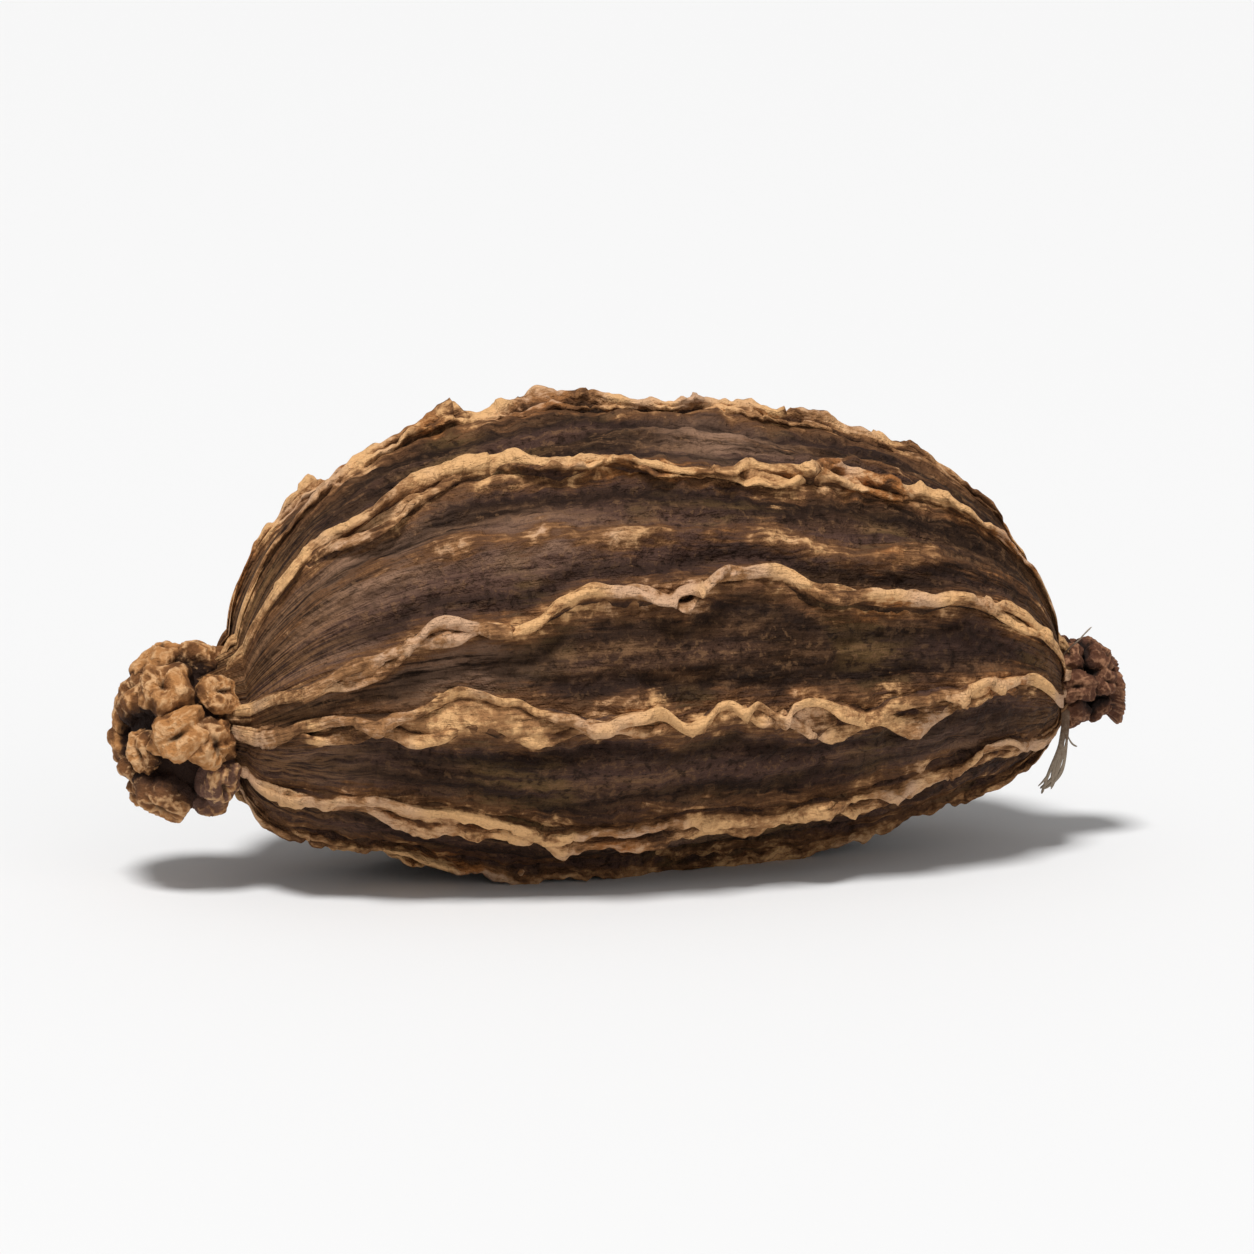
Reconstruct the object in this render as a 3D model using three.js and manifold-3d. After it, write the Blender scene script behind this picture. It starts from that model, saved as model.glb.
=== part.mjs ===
// A dried black cardamom pod (large cardamom, Amomum subulatum) lying on its side.
// Millimetres, +Z up. The pod's length runs along X, with the calyx crown at -X and the stalk tuft at +X.
// It is one grown thing: a leathery skin raised into wavy ribs, drawn together into a crown of puckered
// lobes at one end and into a torn stub of its stalk at the other.
import * as THREE from "three";
import { mergeVertices } from "three/addons/utils/BufferGeometryUtils.js";
import Module from "manifold-3d";

// The body, from the neck under the crown to the neck before the tuft
const BODY_START_X = -10.2;
const BODY_END_X = 10.2;
const SKIN_RADIUS = 5.3; // between the ribs, where the pod is widest
const WIDEST_AT = 0.43; // share of the body's length
const CROWN_NECK_RADIUS = 1.5;
const TUFT_NECK_RADIUS = 0.95;
const NECK_INSIDE = 0.8; // how far each neck runs on inside the crown or the tuft, of its own radius
const NECK_INSIDE_RADIUS = 0.6; // of the neck's, where it ends in there
const CROWN_SIDE_TAPER = 0.4; // both ends are blunter than an ellipse's, which has 0.5
const TUFT_SIDE_TAPER = 0.42;
const AXIS_HEIGHT = 5.42; // of the body's axis above the surface it lies on, where it is highest
const AXIS_DROOP = 1.3; // how far the axis comes down at each end
const AXIS_BEND = 6; // power of the droop: it comes near the ends
const AXIS_BOW = 0.35; // how far the axis bends sideways
const VALVES = 3; // the capsule's three parts, each of which swells a little
const VALVE_SWELL = 0.022; // as a share of the radius
const VALVE_PLACE = 0.6; // angle of the first one
const PANEL_BULGE = 0.1; // of the skin between two main ribs
const DIMPLE = 0.1; // depth of broad shallow dimples, where two of these waves cross
const DIMPLE_WAVES = [
  { start: 2.3, along: 9, around: 2 },
  { start: 1.1, along: 6, around: -3 },
];

// The ribs
const MAIN_RIBS = 11;
const CELL = (2 * Math.PI) / MAIN_RIBS;
const FIRST_RIB = THREE.MathUtils.degToRad(-73.6); // two ribs lie either side of the pod's lowest line
const MAIN_HEIGHT = 0.68;
const MAIN_HALF_WIDTH = 0.33;
const MINOR_HEIGHT = 0.27;
const MINOR_HALF_WIDTH = 0.24;
const MINOR_SHOWN = { mean: 0.45, fading: 0.8 }; // share of its height that shows along a minor rib
const STRONG_MINOR = 3; // the one that runs all along, wider and nearer to the main rib before it
const STRONG_SHOWN = { mean: 1.1, fading: 0.3 };
const STRONG_ASIDE = THREE.MathUtils.degToRad(-5);
const STRONG_WIDER = 1.8;
const MINOR_WAVES = 4; // random values along the body
const MEANDER = THREE.MathUtils.degToRad(5);
const MEANDER_WAVES = 3.2;
const BOWED_RIB = 3; // the one whose ends come down
const BOWED_DOWN = THREE.MathUtils.degToRad(-14);
const RUFFLE = THREE.MathUtils.degToRad(2.4);
const RUFFLE_WAVES = 17;
const SWELL = 0.16; // slow rise and fall of a rib along the body, as a share of its height
const SWELL_WAVES = 6;
const SCALLOP = 0.16; // quick rise and fall of a rib's crest, as a share of its height
const SCALLOP_WAVES = 26;
const NECK_SHARE = 0.6; // a rib's height at the necks, as a share of its height on the belly
const NARROWEST = 0.45; // radius at which a rib stops narrowing, as a share of SKIN_RADIUS
const RIB_SEEDS = { meander: 100, ruffle: 120, minor: 140, swell: 160, scallop: 180, minorShown: 200 };

// The crown and the knobs at the foot of the stalk's stub: a core with rings of rounded knobs on it
const CROWN = {
  centre: [-11.4, 0, -0.4],
  stretch: [0.9, 1.0, 1.05],
  core: 1.5,
  rings: [
    { knobs: 5, tilt: 0.6, height: 0.45, width: 0.32, seed: 40 },
    { knobs: 7, tilt: 1.2, height: 0.68, width: 0.42, seed: 500 },
    { knobs: 8, tilt: 1.9, height: 0.64, width: 0.42, seed: 560 },
  ],
  outward: -1,
  around: 38,
  along: 21,
};
const TUFT = {
  centre: [10.95, 0, -0.15],
  stretch: [1.0, 1.0, 1.0],
  core: 0.75,
  rings: [
    { knobs: 6, tilt: 1.05, height: 0.5, width: 0.45, seed: 630 },
    { knobs: 7, tilt: 1.95, height: 0.5, width: 0.45, seed: 690 },
  ],
  outward: 1,
  around: 22,
  along: 12,
};
const KNOB_SEEDS = { tilt: 0, place: 10, size: 20 };
const KNOB_TILT = [0.9, 1.1]; // of its ring's tilt, least and most
const KNOB_PLACE = [-0.22, 0.22]; // away from its even place, as a share of the distance between two
const KNOB_SIZE = [0.82, 1.18];
const KNOB_ROUNDNESS = 0.7; // power of the knob's section: 0.5 would be an ellipse

// The stub of the stalk: a short tube with a folded wall, which flares into a torn rim round a hollow
const STUB = {
  startX: 9.8,
  endX: 12.05,
  floorX: 11.5, // where the hollow ends
  waist: 0.46,
  foot: 0.45, // added to the waist at the foot
  flare: 0.34, // added to it at the rim
  wall: 0.1, // half the wall's thickness
  curl: 0.25, // how far the rim bends back
  droop: 0.12, // how far it comes down along its length
  broad: { folds: 5, seed: 60, rim: 0.25, flare: 0.3 },
  fine: { folds: 11, seed: 61, rim: 0.2, foot: 0.1, flare: 0.3 },
  rows: 10,
  around: 22,
  step: 0.01, // along the wall, to find which way it runs
};

// What is cut off under the pod
const GROUND_SIDE = 60;
const GROUND_DEPTH = 20;

// The faceting
const ROWS = 43;
const END_CROWDING = 0.6; // 0 spaces the rows evenly, 1 crowds them at the ends
const MAIN_COLUMNS = [-1.45, -0.5, 0.5, 1.45]; // points across a main rib, in half widths
const MINOR_COLUMNS = [-1.2, 0, 1.2];
const SAME_POINT = 1e-3; // points nearer than this are one

// The draws: large uneven factors scatter the digits of a sine, and each seed has its own stretch of numbers
const SCATTER = { along: 12.9898, start: 4.1, up: 43758.5453 };
const DRAWS_PER_SEED = 61;

// A repeatable draw from 0 to 1 for each whole number.
function draw(n) {
  const x = Math.sin(n * SCATTER.along + SCATTER.start) * SCATTER.up;
  return x - Math.floor(x);
}

const between = (n, low, high) => low + (high - low) * draw(n);

// A smooth random curve from -1 to 1: one draw at each whole s, eased from one to the next. It starts again
// after a number of draws, which is none for a curve that runs on.
function wave(seed, s, period = Infinity) {
  const whole = Math.floor(s);
  const eased = THREE.MathUtils.smoothstep(s - whole, 0, 1);
  const at = (k) => 2 * draw(seed * DRAWS_PER_SEED + (k % period)) - 1;
  return THREE.MathUtils.lerp(at(whole), at(whole + 1), eased);
}

// The same round a ring: one draw at each of a number of even angles.
function waveRound(seed, count, angle) {
  return wave(seed, THREE.MathUtils.euclideanModulo(angle / (2 * Math.PI), 1) * count, count);
}

// Radius of the skin without its ribs, u from 0 at the crown's neck to 1 at the tuft's neck.
function skinRadius(u) {
  const left = u < WIDEST_AT;
  const d = left ? (WIDEST_AT - u) / WIDEST_AT : (u - WIDEST_AT) / (1 - WIDEST_AT);
  const taper = left ? CROWN_SIDE_TAPER : TUFT_SIDE_TAPER;
  const neck = left ? CROWN_NECK_RADIUS : TUFT_NECK_RADIUS;
  return Math.hypot(SKIN_RADIUS * Math.pow(Math.max(0, 1 - d * d), taper), neck * d * d);
}

function axisPoint(u) {
  const d = 2 * u - 1;
  return {
    x: THREE.MathUtils.lerp(BODY_START_X, BODY_END_X, u),
    y: AXIS_BOW * (1 - d * d) - AXIS_BOW / 2,
    z: AXIS_HEIGHT - AXIS_DROOP * Math.pow(d, AXIS_BEND),
  };
}

// Angle of rib i's crest. A main rib wanders slowly and is ruffled; a minor rib lies between two main ones.
function mainAngle(i, u) {
  const slow = MEANDER * wave(i + RIB_SEEDS.meander, MEANDER_WAVES * u);
  const quick = RUFFLE * wave(i + RIB_SEEDS.ruffle, RUFFLE_WAVES * u);
  const bowed = i === BOWED_RIB ? BOWED_DOWN * Math.cos(Math.PI * u) ** 2 : 0;
  return FIRST_RIB + i * CELL + slow + quick + bowed;
}

function minorAngle(i, u) {
  const aside = i === STRONG_MINOR ? STRONG_ASIDE : 0;
  return FIRST_RIB + (i + 0.5) * CELL + aside + MEANDER * wave(i + RIB_SEEDS.minor, MINOR_WAVES * u);
}

// A rib is highest on the pod's belly, and its height comes and goes along it.
function mainHeight(i, u) {
  const swell = 1 + SWELL * wave(i + RIB_SEEDS.swell, SWELL_WAVES * u);
  const scallop = 1 + SCALLOP * wave(i + RIB_SEEDS.scallop, SCALLOP_WAVES * u);
  return MAIN_HEIGHT * swell * scallop * THREE.MathUtils.lerp(NECK_SHARE, 1, skinRadius(u) / SKIN_RADIUS);
}

function minorHeight(i, u) {
  const { mean, fading } = i === STRONG_MINOR ? STRONG_SHOWN : MINOR_SHOWN;
  const shown = Math.max(0, mean + fading * wave(i + RIB_SEEDS.minorShown, MINOR_WAVES * u));
  return (MINOR_HEIGHT * shown * skinRadius(u)) / SKIN_RADIUS;
}

// Half a rib's width as an angle: it narrows with the pod, but less than the pod does.
const halfAngle = (halfWidth, u) => halfWidth / Math.hypot(skinRadius(u), NARROWEST * SKIN_RADIUS);
const minorHalfAngle = (i, u) => halfAngle(MINOR_HALF_WIDTH, u) * (i === STRONG_MINOR ? STRONG_WIDER : 1);

// The difference of two angles, from -pi to pi.
const turn = (a, b) => THREE.MathUtils.euclideanModulo(a - b + Math.PI, 2 * Math.PI) - Math.PI;

// A steep-sided ridge, 1 on its crest.
const ridge = (offset, halfWidth) => Math.exp(-Math.pow(Math.abs(offset) / halfWidth, 4));

// How far the skin stands out of its plain radius at share u of the length and angle a.
function relief(u, a) {
  let height = 0;
  for (let i = 0; i < MAIN_RIBS; i++) {
    const main = mainHeight(i, u) * ridge(turn(a, mainAngle(i, u)), halfAngle(MAIN_HALF_WIDTH, u));
    const minor = minorHeight(i, u) * ridge(turn(a, minorAngle(i, u)), minorHalfAngle(i, u));
    height = Math.max(height, main, minor);
  }
  const inCell = turn(a * MAIN_RIBS, FIRST_RIB * MAIN_RIBS) / (2 * Math.PI);
  const bulge = PANEL_BULGE * Math.pow(Math.sin(Math.PI * Math.abs(inCell)), 2);
  const crossed = DIMPLE_WAVES.map((dimple) => Math.sin(dimple.start + dimple.along * u + dimple.around * a));
  return height + (skinRadius(u) / SKIN_RADIUS) * (bulge + DIMPLE * crossed[0] * crossed[1]);
}

function skinPoint(u, a) {
  const axis = axisPoint(u);
  const valves = 1 + VALVE_SWELL * Math.cos(VALVES * a + VALVE_PLACE);
  const radius = skinRadius(u) * valves + relief(u, a);
  return [axis.x, axis.y - radius * Math.cos(a), axis.z + radius * Math.sin(a)];
}

// Angles of the columns of points at share u: four on each main rib, three on each minor rib, one between.
function columnAngles(u) {
  const angles = [];
  const wide = halfAngle(MAIN_HALF_WIDTH, u);
  for (let i = 0; i < MAIN_RIBS; i++) {
    const main = MAIN_COLUMNS.map((share) => mainAngle(i, u) + share * wide);
    const minor = MINOR_COLUMNS.map((share) => minorAngle(i, u) + share * minorHalfAngle(i, u));
    angles.push(...main, (main.at(-1) + minor[0]) / 2, ...minor);
  }
  return angles;
}

// A closed surface from rings of points, with one point closing each end.
function closedRings(first, rings, last) {
  const columns = rings[0].length;
  const points = [first, ...rings.flat(), last];
  const faces = [];
  const at = (row, column) => 1 + row * columns + (column % columns);
  for (let c = 0; c < columns; c++) {
    faces.push(0, at(0, c + 1), at(0, c));
    for (let r = 0; r + 1 < rings.length; r++) {
      faces.push(at(r, c), at(r, c + 1), at(r + 1, c));
      faces.push(at(r, c + 1), at(r + 1, c + 1), at(r + 1, c));
    }
    faces.push(points.length - 1, at(rings.length - 1, c), at(rings.length - 1, c + 1));
  }
  const geometry = new THREE.BufferGeometry();
  geometry.setAttribute("position", new THREE.Float32BufferAttribute(points.flat(), 3));
  geometry.setIndex(faces);
  return geometry;
}

// A neck's last ring drawn in and moved along, and the point in its middle.
function insideNeck(ring, centre, along) {
  const middle = [centre.x + along, centre.y, centre.z];
  const inner = ring.map(([, y, z]) => [
    middle[0],
    THREE.MathUtils.lerp(centre.y, y, NECK_INSIDE_RADIUS),
    THREE.MathUtils.lerp(centre.z, z, NECK_INSIDE_RADIUS),
  ]);
  return { ring: inner, middle };
}

function bodyGeometry() {
  const rings = [];
  for (let row = 0; row <= ROWS; row++) {
    const even = row / ROWS;
    const crowded = 0.5 - 0.5 * Math.cos(Math.PI * even);
    const u = THREE.MathUtils.lerp(even, crowded, END_CROWDING);
    rings.push(columnAngles(u).map((a) => skinPoint(u, a)));
  }
  const first = insideNeck(rings[0], axisPoint(0), -NECK_INSIDE * CROWN_NECK_RADIUS);
  const last = insideNeck(rings[ROWS], axisPoint(1), NECK_INSIDE * TUFT_NECK_RADIUS);
  return closedRings(first.middle, [first.ring, ...rings, last.ring], last.middle);
}

// Even angles all round.
const evenAngles = (count) => Array.from({ length: count }, (_, c) => (c / count) * 2 * Math.PI);

// Unit direction from its angle off the way the end faces, and its angle round that way.
function direction(off, round, outward) {
  const sideways = Math.sin(off);
  return new THREE.Vector3(outward * Math.cos(off), -sideways * Math.cos(round), sideways * Math.sin(round));
}

// A lump whose radius in each direction is its core plus the tallest knob there.
function knobbedEnd(spec, neck) {
  const knobs = spec.rings.flatMap((ring) =>
    Array.from({ length: ring.knobs }, (_, k) => {
      const off = ring.tilt * between(ring.seed + KNOB_SEEDS.tilt + k, ...KNOB_TILT);
      const place = k + between(ring.seed + KNOB_SEEDS.place + k, ...KNOB_PLACE);
      const size = between(ring.seed + KNOB_SEEDS.size + k, ...KNOB_SIZE);
      return {
        towards: direction(off, (place / ring.knobs) * 2 * Math.PI, spec.outward),
        height: ring.height * size,
        width: ring.width * size,
      };
    }),
  );
  const centre = new THREE.Vector3(spec.centre[0], neck.y + spec.centre[1], neck.z + spec.centre[2]);
  const stretch = new THREE.Vector3(...spec.stretch);
  const surface = (off, round) => {
    const towards = direction(off, round, spec.outward);
    const tallest = Math.max(
      ...knobs.map((knob) => {
        const share = Math.min(1, towards.angleTo(knob.towards) / knob.width);
        return knob.height * Math.pow(1 - share * share, KNOB_ROUNDNESS);
      }),
    );
    return towards.multiplyScalar(spec.core + tallest).multiply(stretch).add(centre).toArray();
  };
  const rings = [];
  for (let row = 1; row < spec.along; row++) {
    rings.push(evenAngles(spec.around).map((round) => surface((Math.PI * row) / spec.along, round)));
  }
  return closedRings(surface(0, 0), rings, surface(Math.PI, 0));
}

// The middle of the stub's wall as X and radius, s from 0 at the foot, or at the hollow's floor, to 1 at the
// rim.
function stubWall(s, angle, inside) {
  const { broad, fine } = STUB;
  const broadFold = waveRound(broad.seed, broad.folds, angle);
  const fineFold = waveRound(fine.seed, fine.folds, angle);
  const rimX = STUB.endX + broad.rim * broadFold + fine.rim * fineFold;
  const x = THREE.MathUtils.lerp(inside ? STUB.floorX : STUB.startX, rimX, s);
  const foot = inside ? 0 : STUB.foot * Math.pow(1 - s, 2);
  const flare = STUB.flare * Math.pow(s, 4) * (1 + broad.flare * broadFold);
  const folded = 1 + (fine.foot + fine.flare * s) * fineFold;
  const curl = (STUB.curl * Math.pow(s, 8) * (1 + fineFold)) / 2;
  return new THREE.Vector2(x - curl, (STUB.waist + foot + flare) * folded);
}

// The stub in rings from its foot up its outer wall, over the rim and down its inner wall to the hollow's
// floor, q from 0 to 1.
function stubGeometry(neck) {
  const point = (q, angle) => {
    const s = (1 - Math.cos(2 * Math.PI * q)) / 2;
    const inside = q > 0.5;
    const before = stubWall(s - STUB.step, angle, inside);
    const along = stubWall(s + STUB.step, angle, inside).sub(before).normalize();
    const outer = Math.cos(Math.PI * q);
    const offset = STUB.wall * Math.sign(outer) * Math.sqrt(Math.abs(outer));
    const wall = stubWall(s, angle, inside).add(new THREE.Vector2(-along.y, along.x).multiplyScalar(offset));
    const droop = STUB.droop * (wall.x - BODY_END_X);
    return [wall.x, neck.y - wall.y * Math.cos(angle), neck.z - droop + wall.y * Math.sin(angle)];
  };
  const rings = [];
  for (let row = 0; row <= STUB.rows; row++) {
    rings.push(evenAngles(STUB.around).map((angle) => point(row / STUB.rows, angle)));
  }
  return closedRings([STUB.startX, neck.y, neck.z], rings, [STUB.floorX, neck.y, neck.z]);
}

const wasm = await Module();
wasm.setup();

function solidOf(geometry) {
  for (const name of Object.keys(geometry.attributes)) {
    if (name !== "position") geometry.deleteAttribute(name);
  }
  const merged = mergeVertices(geometry, SAME_POINT);
  const vertProperties = new Float32Array(merged.attributes.position.array);
  const triVerts = new Uint32Array(merged.index.array);
  const solid = new wasm.Manifold(new wasm.Mesh({ numProp: 3, vertProperties, triVerts }));
  if (solid.volume() > 0) return solid;
  for (let i = 0; i < triVerts.length; i += 3) {
    [triVerts[i + 1], triVerts[i + 2]] = [triVerts[i + 2], triVerts[i + 1]];
  }
  return new wasm.Manifold(new wasm.Mesh({ numProp: 3, vertProperties, triVerts }));
}

function geometryOf(solid) {
  const mesh = solid.getMesh();
  const geometry = new THREE.BufferGeometry();
  geometry.setAttribute("position", new THREE.Float32BufferAttribute(mesh.vertProperties, 3));
  geometry.setIndex(new THREE.BufferAttribute(mesh.triVerts, 1));
  return geometry;
}

// A geometry whose near points are made one, less the faces that this closes up: those with a corner twice,
// and pairs that would lie back to back.
function withoutSlivers(geometry) {
  const merged = mergeVertices(geometry, SAME_POINT);
  const faces = new Map();
  for (let i = 0; i < merged.index.count; i += 3) {
    const face = [...merged.index.array.slice(i, i + 3)];
    const key = face.toSorted((a, b) => a - b).join();
    if (new Set(face).size < 3) continue;
    if (!faces.delete(key)) faces.set(key, face);
  }
  merged.setIndex([...faces.values()].flat());
  return merged;
}

// The whole pod, with what would reach below the surface it lies on cut off flat, centred over the origin.
function podGeometry() {
  const body = solidOf(bodyGeometry());
  const crown = solidOf(knobbedEnd(CROWN, axisPoint(0)));
  const tuft = solidOf(knobbedEnd(TUFT, axisPoint(1))).add(solidOf(stubGeometry(axisPoint(1))));
  const ground = new THREE.BoxGeometry(GROUND_SIDE, GROUND_SIDE, GROUND_DEPTH);
  const below = solidOf(ground.translate(0, 0, -GROUND_DEPTH / 2));
  const pieces = body.add(crown).add(tuft).subtract(below).decompose();
  // The cuts can leave slivers beside the one large piece
  const whole = pieces.reduce((a, b) => (a.volume() > b.volume() ? a : b));
  const geometry = geometryOf(whole);
  geometry.computeBoundingBox();
  const middle = geometry.boundingBox.getCenter(new THREE.Vector3());
  return withoutSlivers(geometry.translate(-middle.x, -middle.y, 0));
}

const husk = new THREE.MeshStandardMaterial({ color: 0x5a4132, roughness: 0.72, metalness: 0 });

const pod = new THREE.Mesh(podGeometry(), husk);
pod.geometry.computeVertexNormals();
pod.name = "cardamom_pod";

const object = new THREE.Group();
object.add(pod);

export default object;
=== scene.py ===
"""A dried black cardamom pod lying on its side: a leathery skin raised into wavy ribs, a knobbed calyx
crown at one end (-X) and a small knotted stalk tuft at the other (+X).

Shapes are worked out in millimetres and put into the meshes in metres.
"""

import bpy
import numpy as np
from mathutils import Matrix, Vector


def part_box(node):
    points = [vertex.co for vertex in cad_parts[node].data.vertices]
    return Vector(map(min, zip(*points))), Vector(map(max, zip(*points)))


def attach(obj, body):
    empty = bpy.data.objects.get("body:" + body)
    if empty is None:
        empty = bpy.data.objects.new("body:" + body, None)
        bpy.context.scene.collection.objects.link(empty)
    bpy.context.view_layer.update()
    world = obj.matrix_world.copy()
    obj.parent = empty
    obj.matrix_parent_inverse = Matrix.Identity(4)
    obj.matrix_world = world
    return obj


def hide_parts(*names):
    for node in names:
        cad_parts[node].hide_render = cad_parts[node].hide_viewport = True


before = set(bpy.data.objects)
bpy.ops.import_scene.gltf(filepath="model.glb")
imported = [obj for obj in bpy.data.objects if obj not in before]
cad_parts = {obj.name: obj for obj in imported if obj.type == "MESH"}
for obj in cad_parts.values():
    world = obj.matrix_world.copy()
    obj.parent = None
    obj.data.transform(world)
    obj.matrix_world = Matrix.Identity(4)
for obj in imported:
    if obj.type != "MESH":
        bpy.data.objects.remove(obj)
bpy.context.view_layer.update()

# The camera. It stands where the pod's crown end is the nearer one, low over the surface that the pod lies
# on, with a long lens, so that the pod is seen almost without perspective.
CAMERA_YAW = np.radians(15.0)
CAMERA_ELEVATION = np.radians(9.5)
LENS_MM = 150.0
SENSOR_MM = 36.0
POD_SHARE_OF_FRAME = 0.8

pod_low, pod_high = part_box("cardamom_pod")
pod_middle = (pod_low + pod_high) / 2
pod_length = pod_high.x - pod_low.x

view_width = pod_length * np.cos(CAMERA_YAW) / POD_SHARE_OF_FRAME
camera_distance = view_width * LENS_MM / SENSOR_MM
camera_back = Vector((
    -np.sin(CAMERA_YAW) * np.cos(CAMERA_ELEVATION),
    -np.cos(CAMERA_YAW) * np.cos(CAMERA_ELEVATION),
    np.sin(CAMERA_ELEVATION),
))
camera = bpy.data.objects.new("camera", bpy.data.cameras.new("camera"))
camera.data.lens = LENS_MM
camera.data.sensor_width = SENSOR_MM
camera.data.clip_start = camera_distance / 100
camera.data.clip_end = camera_distance * 100
camera.location = pod_middle + camera_back * camera_distance
camera.rotation_euler = camera_back.to_track_quat("Z", "Y").to_euler()
bpy.context.scene.collection.objects.link(camera)
bpy.context.scene.camera = camera


# The skin of the pod. The real one is the dried wall of the capsule, dark and leathery, drawn together at
# both ends, with low ridges that the main ribs stand on and faint minor ribs between them.
MM = 0.001

BODY_START_X = -10.2
BODY_END_X = 10.2
SKIN_RADIUS = 5.3  # between the ribs, where the pod is widest
WIDEST_AT = 0.43  # share of the body's length
CROWN_NECK_RADIUS = 1.5
TUFT_NECK_RADIUS = 0.95
NECK_INSIDE = 0.8  # how far each neck runs on inside the crown or the tuft, of its own radius
NECK_INSIDE_RADIUS = 0.6  # of the neck's, where it ends in there
CROWN_SIDE_TAPER = 0.40  # both ends are blunter than an ellipse's, which has 0.5
TUFT_SIDE_TAPER = 0.42
AXIS_HEIGHT = 5.42  # of the pod's middle line above the surface it lies on, where it is highest
AXIS_DROOP = 1.3  # how far it comes down at each end
AXIS_BEND = 6  # power of the droop
AXIS_BOW = 0.35  # how far it bends sideways
VALVES = 3
VALVE_SWELL = 0.022  # as a share of the radius
VALVE_PLACE = 0.6  # angle of the first one

MAIN_RIBS = 11
CELL = 2 * np.pi / MAIN_RIBS
FIRST_RIB = np.radians(-73.6)  # two ribs lie either side of the pod's lowest line
MAIN_HEIGHT = 0.68
MINOR_HEIGHT = 0.27
MINOR_HALF_WIDTH = 0.24
MEANDER = np.radians(5)  # how far a rib wanders to each side
MEANDER_WAVES = 3.2  # random values along the body
BOWED_RIB = 3
BOWED_DOWN = np.radians(-14)  # how far round its ends lie from its middle
RUFFLE = np.radians(2.4)
RUFFLE_WAVES = 17
SWELL = 0.16  # slow rise and fall of a rib along the body, as a share of its height
SWELL_WAVES = 6
SCALLOP = 0.16  # quick rise and fall of a rib's crest, as a share of its height
SCALLOP_WAVES = 26
MINOR_WAVES = 4
MINOR_SHOWN = 0.45  # share of a minor rib's height that shows, and how far the share comes and goes
MINOR_FADING = 0.8
STRONG_MINOR = 3  # the one that runs all along, wider and nearer to the main rib before it
STRONG_SHOWN = 1.1
STRONG_FADING = 0.3
STRONG_ASIDE = np.radians(-5)
STRONG_WIDER = 1.8
NECK_SHARE = 0.6  # a rib's height at the necks, as a share of its height on the belly
NARROWEST = 0.45  # radius at which a rib stops narrowing, as a share of SKIN_RADIUS
PANEL_BULGE = 0.1  # of the skin between two main ribs
DIMPLE = 0.1  # depth of broad shallow dimples

SKIN_ROWS = 300
SKIN_COLUMNS = 330
END_CROWDING = 0.6  # 0 spaces the rows evenly, 1 crowds them at the ends
FOOT_RIDGE = 0.34  # height of the ridge under a rib, as a share of the rib's
FOOT_HALF_WIDTH = 0.42
FLANK_REACH = 1.25  # how far from a rib its worn flank reaches, in foot half widths
FLANK_WORN = 0.56
MINOR_WORN = 0.6
MINOR_STRAY = 0.12  # how far a minor rib strays from its line, quickly
MINOR_UNEVEN = 0.3
WEB_RISE = 0.5  # height of the web that fills a parted rib, as a share of the rib's
WRINKLE = 0.19  # of the veins and wrinkles along the pod
VEIN_CELL = (0.7, 3.6)  # distance between its random values across and along the pod
WRINKLE_CELL = (0.34, 1.9)
STRAY_CELL = (0.9, 1.2)
PUCKER = 0.08  # of the short gathers beside the ribs
PUCKER_CELL = (1.0, 0.36)
GRAIN = 0.06  # of the grainy skin
GRAIN_CELL = (0.26, 0.34)
FINE_GRAIN_CELL = (0.15, 0.17)
GRAIN_STRETCH = 7  # how much longer than wide the streaks of the finish are

# Where ribs are parted into two strands: rib, start and end along the body, links in the chain between
# them, half the distance between the strands in mm, and how far the gap is filled by a web. These are the
# ribs on the side of the camera, bottom to top. The other ribs' partings are drawn below.
PARTED = [
    (0, 0.12, 0.52, 2, 0.20, 0.3),
    (1, 0.05, 0.33, 1, 0.26, 0.5),
    (1, 0.31, 0.62, 1, 0.24, 0.1),
    (1, 0.66, 0.84, 2, 0.14, 0.6),
    (1, 0.83, 0.97, 1, 0.20, 0.4),
    (2, 0.02, 0.12, 1, 0.17, 0.0),
    (2, 0.12, 0.36, 1, 0.36, 1.0),
    (2, 0.38, 0.47, 1, 0.10, 0.4),
    (2, 0.49, 0.59, 2, 0.12, 0.8),
    (2, 0.59, 0.69, 1, 0.24, 0.2),
    (2, 0.70, 0.82, 1, 0.17, 0.0),
    (2, 0.82, 0.88, 1, 0.13, 0.9),
    (2, 0.88, 0.99, 1, 0.18, 0.1),
    (3, 0.06, 0.25, 2, 0.13, 0.9),
    (3, 0.46, 0.50, 1, 0.16, 0.0),
    (3, 0.87, 0.95, 1, 0.17, 0.3),
    (4, 0.05, 0.26, 1, 0.22, 0.4),
    (4, 0.55, 0.75, 2, 0.14, 0.6),
]
FIRST_UNSEEN_RIB = 5
DRAWN_PARTINGS = 4


# Patches where the skin is worn paler: place along the body, place round it in cells between main ribs, half
# length, half width in cells and strength. These are on the side of the camera, and the others are drawn.
PALE_PATCHES = [
    (0.12, 3.55, 0.10, 0.40, 1.1),
    (0.30, 3.40, 0.08, 0.25, 0.8),
    (0.21, 2.42, 0.07, 0.24, 1.5),
    (0.08, 2.55, 0.05, 0.30, 0.9),
    (0.45, 0.60, 0.10, 0.25, 0.6),
    (0.82, 1.40, 0.07, 0.30, 0.6),
    (0.07, 1.50, 0.05, 0.40, 0.7),
]
DRAWN_PATCHES = 12

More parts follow.
